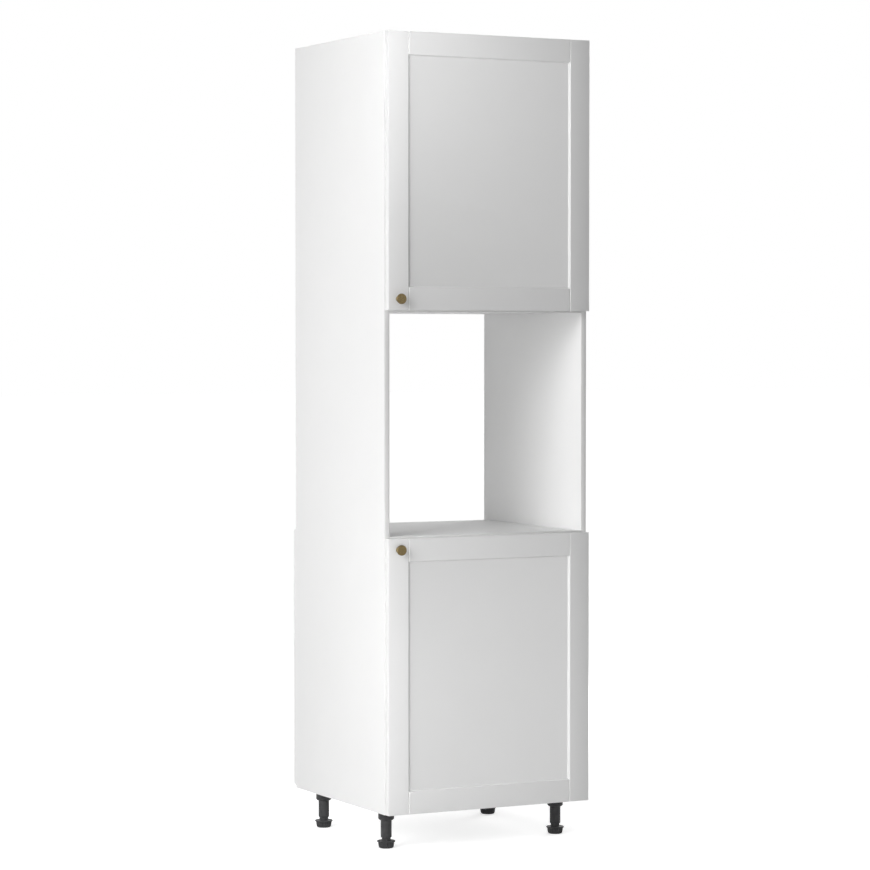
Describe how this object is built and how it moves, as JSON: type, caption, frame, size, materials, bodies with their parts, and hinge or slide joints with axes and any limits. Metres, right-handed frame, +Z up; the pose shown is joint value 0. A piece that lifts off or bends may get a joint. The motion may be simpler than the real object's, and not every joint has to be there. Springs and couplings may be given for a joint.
{
  "type": "tall oven housing unit",
  "caption": "Tall white kitchen housing for a built-in oven: an open niche between framed doors with round brass knobs and concealed hinges, on adjustable plastic legs.",
  "frame": {"origin": "on the floor, in the middle of the unit's overall width and depth, knobs and lower back board included", "axes": "+X to the right seen from the front, +Y to the back, +Z up"},
  "size_m": [0.6, 0.6, 2.12],
  "materials": {
    "white_board": "white melamine-faced board, satin",
    "white_hardboard": "white lacquered hardboard",
    "door_paint": "white satin paint on fibreboard",
    "aged_brass": "antique brass, satin",
    "leg_plastic": "black moulded plastic",
    "beech": "plain beech",
    "clear_bumper": "clear soft plastic",
    "zinc_casting": "nickel-plated zinc casting",
    "nickel_steel": "nickel-plated pressed steel",
    "zinc_plated_screws": "zinc-plated steel"
  },
  "bodies": {
    "carcass": {"left_side_panel": "white_board", "right_side_panel": "white_board", "bottom_panel": "white_board", "niche_floor_panel": "white_board", "niche_top_panel": "white_board", "top_panel": "white_board", "cam_locks": "zinc_casting", "cam_bolts": "zinc_plated_screws", "dowels": "beech", "wall_fixing_rail": "white_board", "upper_back_panel": "white_hardboard", "lower_back_panel": "white_board", "back_screws": "zinc_plated_screws", "lower_shelf": "white_board", "upper_shelf": "white_board", "shelf_supports": "nickel_steel", "lower_hinge_arms": "nickel_steel", "lower_hinge_plates": "zinc_casting", "upper_hinge_arms": "nickel_steel", "upper_hinge_plates": "zinc_casting", "hinge_plate_screws": "zinc_plated_screws", "hinge_arm_screws": "zinc_plated_screws", "leg_sockets": "leg_plastic", "leg_columns": "leg_plastic", "leg_socket_screws": "zinc_plated_screws"},
    "lower_door": {"lower_door": "door_paint", "lower_knob": "aged_brass", "lower_knob_screw": "zinc_plated_screws", "lower_door_bumpers": "clear_bumper", "lower_hinge_cups": "nickel_steel", "lower_hinge_pins": "zinc_plated_screws", "lower_cup_screws": "zinc_plated_screws"},
    "upper_door": {"upper_door": "door_paint", "upper_knob": "aged_brass", "upper_knob_screw": "zinc_plated_screws", "upper_door_bumpers": "clear_bumper", "upper_hinge_cups": "nickel_steel", "upper_hinge_pins": "zinc_plated_screws", "upper_cup_screws": "zinc_plated_screws"},
    "foot_front_left": {"leg_foot_front_left": "leg_plastic"},
    "foot_front_right": {"leg_foot_front_right": "leg_plastic"},
    "foot_rear_left": {"leg_foot_rear_left": "leg_plastic"},
    "foot_rear_right": {"leg_foot_rear_right": "leg_plastic"}
  },
  "joints": [
    {"name": "upper_door_swing", "type": "hinge", "parent": "carcass", "child": "upper_door", "pos_m": [0.2915, -0.272, 1.762], "axis": [0, 0, 1], "range_deg": [0, 95]},
    {"name": "lower_door_swing", "type": "hinge", "parent": "carcass", "child": "lower_door", "pos_m": [0.2915, -0.272, 0.458], "axis": [0, 0, 1], "range_deg": [0, 95]},
    {"name": "foot_screw_front_left", "type": "slide", "parent": "carcass", "child": "foot_front_left", "axis": [0, 0, -1], "range_m": [-0.008, 0.015]},
    {"name": "foot_screw_front_right", "type": "slide", "parent": "carcass", "child": "foot_front_right", "axis": [0, 0, -1], "range_m": [-0.008, 0.015]},
    {"name": "foot_screw_rear_left", "type": "slide", "parent": "carcass", "child": "foot_rear_left", "axis": [0, 0, -1], "range_m": [-0.008, 0.015]},
    {"name": "foot_screw_rear_right", "type": "slide", "parent": "carcass", "child": "foot_rear_right", "axis": [0, 0, -1], "range_m": [-0.008, 0.015]}
  ]
}
